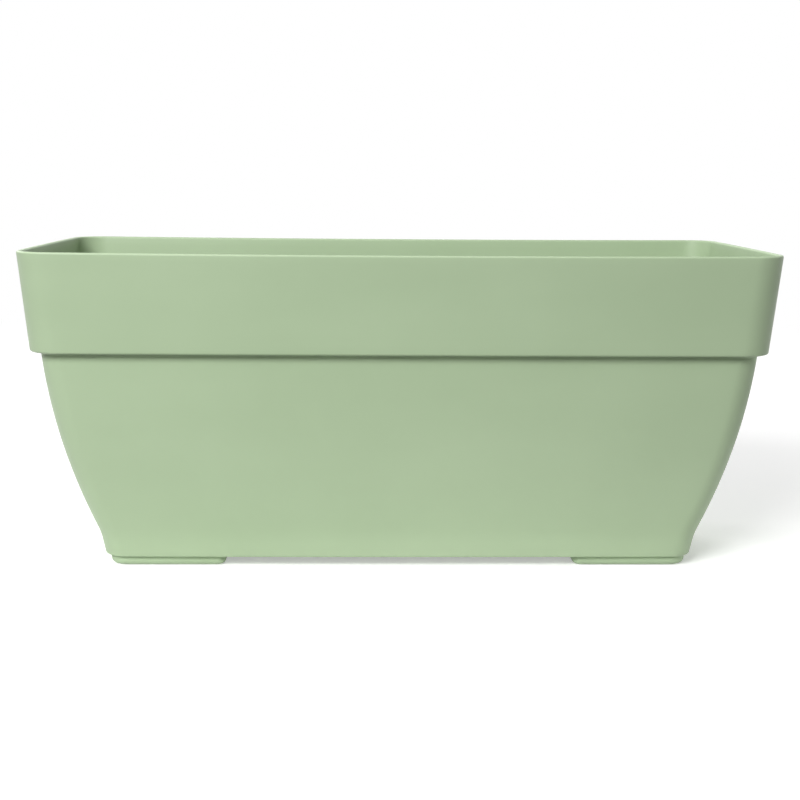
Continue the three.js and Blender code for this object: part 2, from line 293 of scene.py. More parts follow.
def mouldedFinish(name, look):
    marks = mouldMarks
    material = bpy.data.materials.new(name)
    material.use_nodes = True
    tree = material.node_tree
    tree.nodes.clear()
    out = tree.nodes.new("ShaderNodeOutputMaterial")
    surface = tree.nodes.new("ShaderNodeBsdfPrincipled")
    surface.inputs["IOR"].default_value = marks["ior"]
    surface.inputs["Specular IOR Level"].default_value = look["shine"]
    spot = tree.nodes.new("ShaderNodeTexCoord").outputs["Object"]

    def noise(size, detail, stretch=(1, 1, 1)):
        place = made(tree, "ShaderNodeMapping", Vector=spot, Scale=stretch)
        cloud = made(tree, "ShaderNodeTexNoise", Vector=place.outputs[0], Scale=1 / size, Detail=detail)
        return cloud.outputs["Fac"]

    def fade(value, band, ends=(0, 1)):
        step = made(
            tree, "ShaderNodeMapRange", Value=value,
            From_Min=band[0], From_Max=band[1], To_Min=ends[0], To_Max=ends[1])
        return step.outputs[0]

    def mixed(share, first, second):
        step = made(tree, "ShaderNodeMix", {"data_type": "RGBA"}, Factor=share)
        plug(tree, first, step.inputs[6])
        plug(tree, second, step.inputs[7])
        return step.outputs[2]

    def bumped(size, depth):
        step = made(tree, "ShaderNodeBump", Height=noise(size, marks["bumpDetail"]), Strength=1.0)
        step.inputs["Distance"].default_value = depth
        return step

    # broad pigment clouds, with faint streaks drawn out along the flow from the gate
    clouds = noise(look["cloudSize"], marks["cloudDetail"])
    streakSize = look["cloudSize"] / marks["streaksPerCloud"]
    streaks = noise(streakSize, marks["streakDetail"], marks["streakStretch"])
    broad = maths(tree, "MULTIPLY", clouds, 1 - marks["streakShare"])
    blend = maths(tree, "MULTIPLY_ADD", streaks, marks["streakShare"], broad)
    tint = mixed(fade(blend, marks["cloudBand"]), (*look["shade"], 1), (*look["colour"], 1))

    # painted highlight: sharp convex edges are painted a paler line
    skinCurvature = made(tree, "ShaderNodeNewGeometry").outputs["Pointiness"]
    lift = maths(tree, "MULTIPLY", fade(skinCurvature, marks["edgeBand"]), look["edgeHighlight"])
    # painted highlight on the upward-facing top of the rim
    if "rimHighlight" in look:  # and the top of the rim most of all
        facing = made(tree, "ShaderNodeNewGeometry").outputs["Normal"]
        upward = fade(made(tree, "ShaderNodeSeparateXYZ", Vector=facing).outputs["Z"], marks["upwardBand"])
        rise = made(tree, "ShaderNodeSeparateXYZ", Vector=spot).outputs["Z"]
        onRim = maths(tree, "MULTIPLY", upward, maths(tree, "GREATER_THAN", rise, look["rimFrom"]))
        lift = maths(tree, "MULTIPLY_ADD", onRim, look["rimHighlight"], lift)
    pale = (min(c * marks["highlightGain"] + marks["highlightLift"], 1) for c in look["colour"])
    highlighted = mixed(lift, tint, (*pale, 1))

    # painted shade: concave creases are painted darker, where shade falls
    crease = maths(tree, "MULTIPLY", fade(skinCurvature, marks["creaseBand"]), look["creaseShade"])
    creaseShadeTone = (marks["creaseShadeTone"] * c * c for c in look["shade"])
    tree.links.new(mixed(crease, highlighted, (*creaseShadeTone, 1)), surface.inputs["Base Color"])

    patches = noise(look["cloudSize"] / marks["patchesPerCloud"], marks["patchDetail"])
    rough = fade(patches, marks["patchBand"], look["roughness"])
    tree.links.new(rough, surface.inputs["Roughness"])

    # fine eroded texture of the mould, over a very slight unevenness of the skin
    grain = bumped(look["grainSize"], look["grainDepth"])
    ripple = bumped(look["rippleSize"], look["rippleDepth"])
    tree.links.new(grain.outputs[0], ripple.inputs["Normal"])
    tree.links.new(ripple.outputs[0], surface.inputs["Normal"])
    tree.links.new(surface.outputs[0], out.inputs["Surface"])
    return material


sageFinish = mouldedFinish("sageMoulded", shellPlastic)
footFinish = mouldedFinish("footMoulded", footPlastic)
plateFinish = mouldedFinish("plateMoulded", plateGreen)
rubberFinish = mouldedFinish("plugRubber", plugRubber)
print("finishes made")


# Sizes in millimetres, as the moulding drawings would give them; a draft is the sideways run for
# each millimetre of height.
shellSizes = {
    "collarHeight": 65.7,
    "collarDraft": 0.083,
    "collarWall": 3.2,
    "collarEdgeRadius": 1.4,
    "ledge": 6.65,
    "ledgeFillet": 2,
    "ledgeShoulderRadius": 3.4,
    "collarFootRadius": 1,
    "rimRadius": 1.4,
    "rimSag": 0.9,
    "rimCornerRadius": 22,
    "wall": 2.8,
    "bellyTopDraft": 0.098,
    "bellyFootDraft": 0.402,
    "plinthHeight": 15.5,
    "plinthDraft": 0.19,
    "plinthBlend": 5,
    "sideDraftShare": 0.74,
    "bodyCornerRadius": 17,
    "baseCornerRadius": 15,
    "baseEdgeRadius": 1.2,
    "floorThickness": 2.8,
    "floorFillet": 5,
    "longWallBow": 1.4,
    "endWallBow": 1.0,
    "footHeight": 6.7,
}
footSizes = {
    "length": 79.7,
    "depth": 42,
    "inset": 4.4,  # in from the outline of the base
    "outerRadius": 12,
    "innerRadius": 6,
    "bottomRadius": 3.6,
    "topRadius": 0.3,
    "seam": 0.3,
    "pegRadius": 4,
    "pegLength": 9,
    "pegPitch": 44,
    "pegClearance": 0.3,
    "pegChamfer": 0.8,
    "bossWall": 2.4,
    "bossTop": 2.2,
    "bossFillet": 1.2,
    "bossEdge": 1.0,
    "socketChamfer": 0.4,
    "roundSteps": 48,  # of the pegs, their bosses and sockets
}
spoutSizes = {
    "pitch": 104,
    "height": 18,  # above the floor
    "boreRadius": 9,
    "wall": 2.5,
    "flare": 1,
    "footFillet": 1.5,
    "lipRadius": 0.8,
    "boreChamfer": 0.6,
}
plugSizes = {
    "clearance": 0.3,
    "shankLength": 10,
    "shankDraft": 0.05,
    "tipRadius": 1,
    "hollowDepth": 1.2,  # the tip is dished
    "hollowInsets": (3.4, 4),  # in from the shank, at the hollow's mouth and at its bottom
    "ribRises": (3.5, 6.5),  # above the tip
    "ribHeight": 0.14,
    "ribWidth": 1,
    "rootFillet": 0.5,
    "flangeRadius": 12,
    "flangeThickness": 2,
    "flangeFootRadius": 0.4,
    "stemRadius": 3,
    "stemHeight": 3.5,
    "stemFillet": 1.0,
    "neckFillet": 0.8,
    "knobRadius": 6.5,
    "knobThickness": 3,
    "edgeRadius": 0.8,
    "dimple": ((2.2, 0), (1.7, 0.35), (0, 0.4)),  # radius and depth, from its lip to its middle
}
plateSizes = {
    "height": 40,  # from the floor to its top face
    "thickness": 2.5,
    "clearance": 1.2,
    "skirtHeight": 8,
    "skirtThickness": 2.2,
    "skirtFillet": 1,
    "edgeRadius": 0.8,
    "rest": 0.3,  # the gap at which its wells stand on the floor, and the plugs on their spouts
    "wellPitch": 250,
    "wellLength": 58,
    "wellDepth": 46,
    "wellTaper": 0.12,
    "wellRadius": 8,
    "wellWall": 2,
    "wellFloorRadius": 2.5,
    "wellSink": 0.4,  # how far its outside stops below the top face
    "wellSlotCount": 3,  # in each wall of a well
    "wellSlotWidth": 3,
    "wellSlotPitch": 12,
    "wellSlotMargin": 4,
    "holeLength": 60,
    "holeDepth": 34,
    "holeRadius": 8,
    "holeEdge": 0.8,
    "lipWall": 2.2,
    "lipHeight": 3,
    "lipEdge": 0.6,
    "slotLength": 24,
    "slotWidth": 4,
    "slotPitchX": 33,
    "slotPitchY": 17,
    "slotEdge": 9,
    "slotBridge": 3,
}
outlineSteps = {"Corner Steps": 14, "Half Long Steps": 26, "Half End Steps": 12}
leastCorner = 0.4  # of an outline set far in, whose corner would otherwise vanish
overcut = 2  # how far a cutter reaches past what it cuts
rooted = 1  # how far a body that is added sinks into what carries it

length = (cadHigh.x - cadLow.x) / mm
depth = (cadHigh.y - cadLow.y) / mm
height = cadHigh.z / mm
s = shellSizes
collarFootZ = height - s["collarHeight"]
bellyTopZ = collarFootZ - s["ledgeFillet"]
plinthTopZ = s["footHeight"] + s["plinthHeight"]
bellyHeight = bellyTopZ - plinthTopZ
floorZ = s["footHeight"] + s["floorThickness"]
spoutTopZ = floorZ + spoutSizes["height"]
plateTopZ = floorZ + plateSizes["height"]
plateBottomZ = plateTopZ - plateSizes["thickness"]


def collarInset(z):
    return s["collarDraft"] * (height - s["rimRadius"] - z)


bodyTopInset = collarInset(collarFootZ) + s["ledge"]


def bodyLean(z):
    down = min(max(bellyTopZ - z, 0), bellyHeight)
    growth = (s["bellyFootDraft"] - s["bellyTopDraft"]) / (2 * bellyHeight)
    lean = s["bellyTopDraft"] * down + growth * down * down
    near = max(1 - abs(z - plinthTopZ) / s["plinthBlend"], 0)
    turn = (s["bellyFootDraft"] - s["plinthDraft"]) * s["plinthBlend"] / 4
    return lean + s["plinthDraft"] * max(plinthTopZ - z, 0) - turn * near * near


# A row of a wall's section: insets from the rim's outline along X and Y, height, plan radius.
def bodyRow(z, offset, riseZ=None):
    lean = bodyLean(z)
    share = (bellyTopZ - z) / (bellyTopZ - s["footHeight"])
    radius = s["bodyCornerRadius"] + (s["baseCornerRadius"] - s["bodyCornerRadius"]) * share
    insetX = bodyTopInset + lean + offset
    insetY = bodyTopInset + lean * s["sideDraftShare"] + offset
    return insetX, insetY, z if riseZ is None else riseZ, max(radius - offset, leastCorner)


def collarRow(z, offset):
    inset = collarInset(z) + offset
    return inset, inset, z, max(s["rimCornerRadius"] - offset, leastCorner)


def spaced(start, end, steps):
    return [start + (end - start) * i / steps for i in range(steps + 1)]


# The sine and cosine along a turn, as shares of its radius.
def turnShares(start, end, steps):
    angles = [math.radians(degrees) for degrees in spaced(start, end, steps)]
    return [(math.sin(angle), math.cos(angle)) for angle in angles]


# A flat face from the last row in to the middle line.
def rowsToMiddle(row, steps=9):
    insetX, insetY, z, radius = row
    extras = spaced(0, depth / 2 - insetY, steps)[1:]
    return [(insetX + extra, insetY + extra, z, max(radius - extra, 0)) for extra in extras]


# The whole section of the shell in one run: underside, outer face, rim, inner face, floor. The last
# number in each stretch is how many steps it gets.
def shellRows():
    rows = []
    base, edge, rim = s["baseEdgeRadius"], s["collarEdgeRadius"], s["rimRadius"]
    bend, fillet, wall = s["plinthBlend"], s["ledgeFillet"], s["wall"]
    edgeZ, crownZ = s["footHeight"] + base, height - rim
    ledgeTopZ = collarFootZ + wall
    toMiddle = depth / 2 - bodyRow(edgeZ, 0)[1]
    rows += [bodyRow(edgeZ, offset, s["footHeight"]) for offset in spaced(toMiddle, base, 9)[:-1]]
    rows += [bodyRow(edgeZ - base * up, base * (1 - out)) for out, up in turnShares(0, 90, 7)]
    rows += [bodyRow(z, 0) for z in spaced(edgeZ, plinthTopZ - bend, 3)[1:-1]]
    rows += [bodyRow(z, 0) for z in spaced(plinthTopZ - bend, plinthTopZ + bend, 10)]
    rows += [bodyRow(z, 0) for z in spaced(plinthTopZ + bend, bellyTopZ, 26)[1:]]
    rows += [bodyRow(bellyTopZ + fillet * up, fillet * (out - 1)) for up, out in turnShares(0, 90, 5)[1:]]
    rows += [collarRow(collarFootZ + edge * (1 - up), edge * (1 - out)) for out, up in turnShares(0, 90, 8)]
    rows += [collarRow(z, 0) for z in spaced(collarFootZ + edge, crownZ, 14)[1:]]
    rows += [collarRow(crownZ + rim * up, rim * (1 - out)) for up, out in turnShares(0, 90, 6)[1:]]
    inner = s["collarWall"]
    rows += [collarRow(crownZ + rim * up, inner - rim * (1 - out)) for up, out in turnShares(90, 0, 6)]
    foot = s["collarFootRadius"]
    rows += [collarRow(z, inner) for z in spaced(crownZ, ledgeTopZ + foot, 12)[1:]]
    rows += [
        collarRow(ledgeTopZ + foot * (1 - up), inner + foot * (1 - out))
        for out, up in turnShares(90, 0, 3)[1:]]
    turn = s["ledgeShoulderRadius"]
    shoulderZ = ledgeTopZ - turn
    rows += [bodyRow(shoulderZ + turn * up, wall + turn * (out - 1)) for up, out in turnShares(90, 0, 8)]
    rows += [bodyRow(z, wall) for z in spaced(shoulderZ, plinthTopZ + bend, 22)[1:]]
    floor = s["floorFillet"]
    rows += [bodyRow(z, wall) for z in spaced(plinthTopZ + bend, floorZ + floor, 8)[1:]]
    rows += [
        bodyRow(floorZ + floor * (1 - up), wall + floor * (1 - out))
        for out, up in turnShares(90, 0, 7)[1:]]
    return rows + rowsToMiddle(rows[-1])


# The plate's section: underside, inside of the skirt, its foot, outside, top face.
def plateRows():
    p = plateSizes
    gap = s["wall"] + p["clearance"]
    edge, fillet = p["edgeRadius"], p["skirtFillet"]
    inner = gap + p["skirtThickness"]
    skirtZ, filletZ = plateBottomZ - p["skirtHeight"], plateBottomZ - fillet
    toMiddle = depth / 2 - bodyRow(plateBottomZ, 0)[1]
    opening, closing = turnShares(0, 90, 4), turnShares(90, 0, 4)
    rows = [bodyRow(plateBottomZ, offset) for offset in spaced(toMiddle, inner + fillet, 9)]
    rows += [bodyRow(filletZ + fillet * up, inner + fillet * (1 - out)) for out, up in opening[1:]]
    rows += [bodyRow(z, inner) for z in spaced(filletZ, skirtZ + edge, 4)[1:]]
    rows += [bodyRow(skirtZ + edge * (1 - up), inner - edge * (1 - out)) for up, out in opening[1:]]
    rows += [bodyRow(skirtZ + edge * (1 - up), gap + edge * (1 - out)) for up, out in closing]
    rows += [bodyRow(z, gap) for z in spaced(skirtZ + edge, plateTopZ - edge, 6)[1:]]
    rows += [bodyRow(plateTopZ - edge * (1 - up), gap + edge * (1 - out)) for up, out in opening[1:]]
    return rows + rowsToMiddle(rows[-1])


# A bare row of points: its X and Y are the insets, its Z the height.
def sectionMesh(rows):
    mesh = bpy.data.meshes.new("wallSection")
    mesh.from_pydata([(r[0] * mm, r[1] * mm, r[2] * mm) for r in rows], [], [])
    radii = mesh.attributes.new("planRadius", "FLOAT", "POINT")
    for i, row in enumerate(rows):
        radii.data[i].value = row[3] * mm
    return mesh


mostSwell = 0.03  # of the half length, where an outline set far in would bow too much
nearZero = 0.00001  # keeps a division from failing


# Sweeps a section round one quarter of the bowed outline, then mirrors the quarter.
def wallTree():
    tree, inputs = newTree(
        "sweptWall",
        ["Length", "Depth", "Long Bow", "End Bow", "Rim Sag", "Collar Foot", "Collar Height"],
        ["Rows", "Corner Steps", "Half Long Steps", "Half End Steps"])

    def doing(operation, *values, clamp=False):
        return maths(tree, operation, *values, clamp=clamp)

    rowCount, cornerSteps = inputs["Rows"], inputs["Corner Steps"]
    longSteps, endSteps = inputs["Half Long Steps"], inputs["Half End Steps"]
    columns = doing("ADD", doing("ADD", longSteps, cornerSteps), endSteps)
    grid = made(tree, "GeometryNodeMeshGrid")
    tree.links.new(doing("ADD", columns, 1), grid.inputs["Vertices X"])
    tree.links.new(rowCount, grid.inputs["Vertices Y"])
    index = made(tree, "GeometryNodeInputIndex").outputs[0]
    column = doing("FLOOR", doing("DIVIDE", doing("ADD", index, 0.5), rowCount))
    row = doing("SUBTRACT", index, doing("MULTIPLY", column, rowCount))

    def sampled(kind, value):
        found = made(tree, "GeometryNodeSampleIndex", {"data_type": kind, "domain": "POINT"})
        tree.links.new(inputs["Geometry"], found.inputs["Geometry"])
        tree.links.new(value, found.inputs["Value"])
        tree.links.new(row, found.inputs["Index"])
        return found.outputs[0]

    section = made(tree, "GeometryNodeInputPosition").outputs[0]
    inset = made(tree, "ShaderNodeSeparateXYZ", Vector=sampled("FLOAT_VECTOR", section)).outputs
    named = made(tree, "GeometryNodeInputNamedAttribute", {"data_type": "FLOAT"}, Name="planRadius")
    planRadius = sampled("FLOAT", named.outputs[0])

    # where the column stands: along the long side, round the corner, down the end
    along = doing("DIVIDE", column, longSteps, clamp=True)
    turning = doing("DIVIDE", doing("SUBTRACT", column, longSteps), cornerSteps, clamp=True)
    down = doing("DIVIDE", doing("SUBTRACT", columns, column), endSteps, clamp=True)
    angle = doing("MULTIPLY", doing("SUBTRACT", 1.0, turning), math.pi / 2)

    def coreOf(size, insetBy, bow):
        half = doing("MAXIMUM", doing("SUBTRACT", doing("MULTIPLY", size, 0.5), insetBy), 0.0)
        swell = doing("MINIMUM", bow, doing("MULTIPLY", half, mostSwell))
        core = doing("SUBTRACT", half, swell)
        return half, core, doing("DIVIDE", swell, doing("MAXIMUM", core, nearZero))

    halfX, coreX, swellX = coreOf(inputs["Length"], inset[0], inputs["End Bow"])
    halfY, coreY, swellY = coreOf(inputs["Depth"], inset[1], inputs["Long Bow"])
    radius = doing("MINIMUM", planRadius, doing("MINIMUM", coreX, coreY))

    def reach(core, share, turnKind):
        straight = doing("MULTIPLY", doing("SUBTRACT", core, radius), share)
        return doing("ADD", straight, doing("MULTIPLY", radius, doing(turnKind, angle)))

    flatX, flatY = reach(coreX, along, "COSINE"), reach(coreY, down, "SINE")

    def bulge(value, other, core, swell):
        ratio = doing("DIVIDE", other, doing("MAXIMUM", core, nearZero))
        share = doing("SUBTRACT", 1.0, doing("MULTIPLY", ratio, ratio))
        return doing("MULTIPLY", value, doing("MULTIPLY_ADD", swell, share, 1.0))

    x = bulge(flatX, flatY, coreY, swellX)
    y = bulge(flatY, flatX, coreX, swellY)
    aboveFoot = doing("SUBTRACT", inset[2], inputs["Collar Foot"])
    upCollar = doing("MAXIMUM", doing("DIVIDE", aboveFoot, inputs["Collar Height"]), 0.0)
    ratioX = doing("DIVIDE", x, doing("MAXIMUM", halfX, nearZero))
    middle = doing("MAXIMUM", doing("SUBTRACT", 1.0, doing("MULTIPLY", ratioX, ratioX)), 0.0)
    most = doing("MULTIPLY", middle, inputs["Rim Sag"])
    sag = doing("MULTIPLY", doing("MULTIPLY", upCollar, upCollar), most)
    spot = made(tree, "ShaderNodeCombineXYZ", X=x, Y=y, Z=doing("SUBTRACT", inset[2], sag))
    quarter = made(tree, "GeometryNodeSetPosition", Geometry=grid.outputs[0], Position=spot.outputs[0])

    def mirrored(geometry, scale):
        turnedOver = made(tree, "GeometryNodeTransform", Geometry=geometry, Scale=scale)
        flipped = made(tree, "GeometryNodeFlipFaces", Mesh=turnedOver.outputs[0])
        both = tree.nodes.new("GeometryNodeJoinGeometry")
        tree.links.new(geometry, both.inputs[0])
        tree.links.new(flipped.outputs[0], both.inputs[0])
        return both.outputs[0]

    half = mirrored(quarter.outputs[0], (-1, 1, 1))
    whole = mirrored(half, (1, -1, 1))
    welded = made(tree, "GeometryNodeMergeByDistance", Geometry=whole, Distance=weld)
    closeTree(tree, welded.outputs[0], inputs["Material"])
    return tree


gapSizes = ("Pitch", "Length", "Depth")  # of a pair of gaps, left and right of the middle


# Lays copies out in rows, and leaves out those that would run into two pairs of gaps.
def copiesTree():
    gaps = [f"Gap {letter} {size}" for letter in "AB" for size in gapSizes]
    tree, inputs = newTree("copiesInRows", ["Pitch X", "Pitch Y", *gaps], ["Count X", "Count Y"])

    def doing(operation, *values):
        return maths(tree, operation, *values)

    grid = made(tree, "GeometryNodeMeshGrid")
    for axis in "XY":
        spans = doing("SUBTRACT", inputs["Count " + axis], 1)
        tree.links.new(doing("MULTIPLY", spans, inputs["Pitch " + axis]), grid.inputs["Size " + axis])
        tree.links.new(inputs["Count " + axis], grid.inputs["Vertices " + axis])
    spot = made(tree, "GeometryNodeInputPosition").outputs[0]
    x, y, _ = made(tree, "ShaderNodeSeparateXYZ", Vector=spot).outputs
    within = []
    for letter in "AB":
        halves = [doing("MULTIPLY", inputs[f"Gap {letter} {size}"], 0.5) for size in gapSizes]
        middle, halfX, halfY = halves
        aside = doing("ABSOLUTE", doing("SUBTRACT", doing("ABSOLUTE", x), middle))
        nearX = doing("LESS_THAN", aside, halfX)
        nearY = doing("LESS_THAN", doing("ABSOLUTE", y), halfY)
        within.append(doing("MULTIPLY", nearX, nearY))
    kept = made(tree, "GeometryNodeDeleteGeometry", {"domain": "POINT"}, Geometry=grid.outputs[0])
    tree.links.new(doing("MAXIMUM", *within), kept.inputs["Selection"])
    copies = made(
        tree, "GeometryNodeInstanceOnPoints", Points=kept.outputs[0], Instance=inputs["Geometry"])
    closeTree(tree, copies.outputs[0], inputs["Material"])
    return tree


sweptWall, copiesInRows = wallTree(), copiesTree()
print("trees built")


def sweptPiece(name, rows, material):
    return grown(name, sweptWall, sectionMesh(rows), {
        "Length": length * mm, "Depth": depth * mm,
        "Long Bow": s["longWallBow"] * mm, "End Bow": s["endWallBow"] * mm, "Rim Sag": s["rimSag"] * mm,
        "Collar Foot": collarFootZ * mm, "Collar Height": s["collarHeight"] * mm,
        "Rows": len(rows), **outlineSteps, "Material": material,
    })


# Copies of a piece in rows; the piece itself is used up.
def inRows(piece, countX, countY, pitchX, pitchY, gaps=()):
    values = {"Count X": countX, "Count Y": countY, "Pitch X": pitchX * mm, "Pitch Y": pitchY * mm}
    for letter, gap in zip("AB", gaps):
        for size, value in zip(gapSizes, gap):
            values[f"Gap {letter} {size}"] = value * mm
    mesh = piece.data
    bpy.data.objects.remove(piece)
    return grown(mesh.name, copiesInRows, mesh, values)


# The profiles below are in millimetres, from the axis and back to it.
def toMetres(profile):
    return [(r * mm, z * mm) for r, z in profile]


def pillarProfile(radius, topRadius, footZ, topZ, fillet, edge):
    return [
        (0, footZ - rooted),
        (radius + fillet, footZ - rooted),
        *arc(radius + fillet, footZ + fillet, fillet, 270, 180),
        *arc(topRadius - edge, topZ - edge, edge, 0, 90),
        (0, topZ),
    ]


# A cutter for a hole with chamfered mouths; a blind one ends flat at its top.
def boreProfile(radius, footZ, topZ, chamfer, opensAbove):
    wide, outZ = radius + chamfer, footZ - overcut
    points = [(0, outZ), (wide, outZ), (wide, footZ), (radius, footZ + chamfer)]
    if opensAbove:
        outZ = topZ + overcut
        return points + [(radius, topZ - chamfer), (wide, topZ), (wide, outZ), (0, outZ)]
    return points + [(radius, topZ), (0, topZ)]


# Where the feet stand, from the outline of the base
feet = footSizes
baseRow = bodyRow(s["footHeight"] + s["baseEdgeRadius"], 0)
footX = length / 2 - baseRow[0] - feet["inset"] - feet["length"] / 2
footY = depth / 2 - baseRow[1] - feet["inset"] - feet["depth"] / 2
pegTopZ = s["footHeight"] + feet["pegLength"]


def atPegs(profile, name):
    pin = turned(name, toMetres(profile), feet["roundSteps"])
    pair = inRows(pin, 2, 1, feet["pegPitch"], 0)
    return inRows(pair, 2, 2, 2 * footX, 2 * footY)


def makeShell():
    shell = sweptPiece("troughShell", shellRows(), sageFinish)
    print("shell swept:", len(shell.data.polygons), "faces")
    n = spoutSizes
    outer = n["boreRadius"] + n["wall"]
    spout = pillarProfile(outer + n["flare"], outer, floorZ, spoutTopZ, n["footFillet"], n["lipRadius"])
    bossRadius = feet["pegRadius"] + feet["bossWall"]
    bossTopZ = pegTopZ + feet["bossTop"]
    boss = pillarProfile(bossRadius, bossRadius, floorZ, bossTopZ, feet["bossFillet"], feet["bossEdge"])
    bore = boreProfile(n["boreRadius"], s["footHeight"], spoutTopZ, n["boreChamfer"], True)
    clear = feet["pegClearance"]
    socketRadius, chamfer = feet["pegRadius"] + clear, feet["socketChamfer"]
    socket = boreProfile(socketRadius, s["footHeight"], pegTopZ + clear, chamfer, False)
    spouts = inRows(turned("spout", toMetres(spout)), 2, 1, n["pitch"], 0)
    bores = inRows(turned("bore", toMetres(bore)), 2, 1, n["pitch"], 0)
    carve(shell, "UNION", [spouts, atPegs(boss, "boss")])
    carve(shell, "DIFFERENCE", [bores, atPegs(socket, "socket")])
    return finishMesh(shell, sageFinish)


def makeFoot(name, sideX, sideY):
    corners = ((1, 1), (-1, 1), (-1, -1), (1, -1))
    radii = [feet["outerRadius" if corner == (sideX, sideY) else "innerRadius"] for corner in corners]
    halfX, halfY = feet["length"] / 2, feet["depth"] / 2
    middleX, middleY = sideX * footX, sideY * footY
    topZ = s["footHeight"] - feet["seam"]
    low, high = feet["bottomRadius"], feet["topRadius"]
    levels = [(low * (1 - up), low * (1 - out)) for out, up in turnShares(0, 90, 6)]
    levels += [(topZ - high * (1 - up), high * (1 - out)) for up, out in turnShares(0, 90, 4)]

    def build(bm):
        stackRings(bm, [
            plainRing(
                (halfX - inset) * mm, (halfY - inset) * mm, [(radius - inset) * mm for radius in radii],
                z * mm, middleX * mm, middleY * mm)
            for z, inset in levels])

    foot = linkedPiece(name, meshFrom(name, build))
    radius, chamfer, steps = feet["pegRadius"], feet["pegChamfer"], feet["roundSteps"]
    peg = [(0, topZ - rooted), (radius, topZ - rooted), (radius, pegTopZ - chamfer)]
    peg += [(radius - chamfer, pegTopZ), (0, pegTopZ)]
    pegXs = [middleX + end * feet["pegPitch"] / 2 for end in (-1, 1)]
    carve(foot, "UNION", [turned("peg", toMetres(peg), steps, x * mm, middleY * mm) for x in pegXs])
    return finishMesh(foot, footFinish)


# Rounded rectangles one above another; each level gives its half sizes, its height and its inset.
def stack(name, levels, radius, x):
    def build(bm):
        stackRings(bm, [
            plainRing((halfX - inset) * mm, (halfY - inset) * mm, [(radius - inset) * mm] * 4, z * mm, x * mm)
            for halfX, halfY, z, inset in levels])

    return linkedPiece(name, meshFrom(name, build))


# An upright cutter with round ends.
def slotCutter(name, long, wide, lowZ, highZ):
    def build(bm):
        halfX, halfY = long / 2 * mm, wide / 2 * mm
        levels = (lowZ * mm, highZ * mm)
        stackRings(bm, [plainRing(halfX, halfY, [halfY] * 4, z, cornerSteps=6) for z in levels])

    return linkedPiece(name, meshFrom(name, build))


# The outside of a wick well, or the space inside it, which cuts it open.
def wellBody(x, hollow):
    p = plateSizes
    floor, grow = (p["wellWall"], p["wellWall"]) if hollow else (0, 0)
    bottomZ = floorZ + p["rest"] + floor
    topZ = plateTopZ + overcut if hollow else plateTopZ - p["wellSink"]
    turn = p["wellFloorRadius"] - grow / 2

    def level(z, inset):
        lean = (plateTopZ - z) * p["wellTaper"] + grow
        return p["wellLength"] / 2 - lean, p["wellDepth"] / 2 - lean, z, inset

    levels = [level(bottomZ + turn * (1 - up), turn * (1 - out)) for out, up in turnShares(0, 90, 6)]
    levels += [level(z, 0) for z in spaced(bottomZ + turn, topZ, 5)[1:]]
    return stack("well", levels, p["wellRadius"] - grow, x)


# Bars through the wells from side to side, which leave upright slots in all four walls.
def wellSlotCutters(x):
    p = plateSizes
    low, high = floorZ + p["rest"] + p["wellSlotMargin"], plateBottomZ - p["wellSlotMargin"]
    halfWidth, rise = p["wellSlotWidth"] / 2 * mm, (low + high) / 2 * mm
    ring = plainRing(halfWidth, (high - low) / 2 * mm, [halfWidth] * 4, 0)
    cutters = []
    for alongX in (True, False):
        reach = (p["wellDepth"] if alongX else p["wellLength"]) / 2 + overcut

        def build(bm):
            ends = [[(spot.x, side * mm, spot.y + rise) for spot in ring] for side in (-reach, reach)]
            stackRings(bm, ends if alongX else [[(away, side, z) for side, away, z in end] for end in ends])

        bar = linkedPiece("wellSlot", meshFrom("wellSlot", build))
        count, pitch = p["wellSlotCount"], p["wellSlotPitch"]
        rows = inRows(bar, count if alongX else 1, 1 if alongX else count, pitch, pitch)
        rows.data.transform(Matrix.Translation((x * mm, 0, 0)))
        cutters.append(rows)
    return cutters


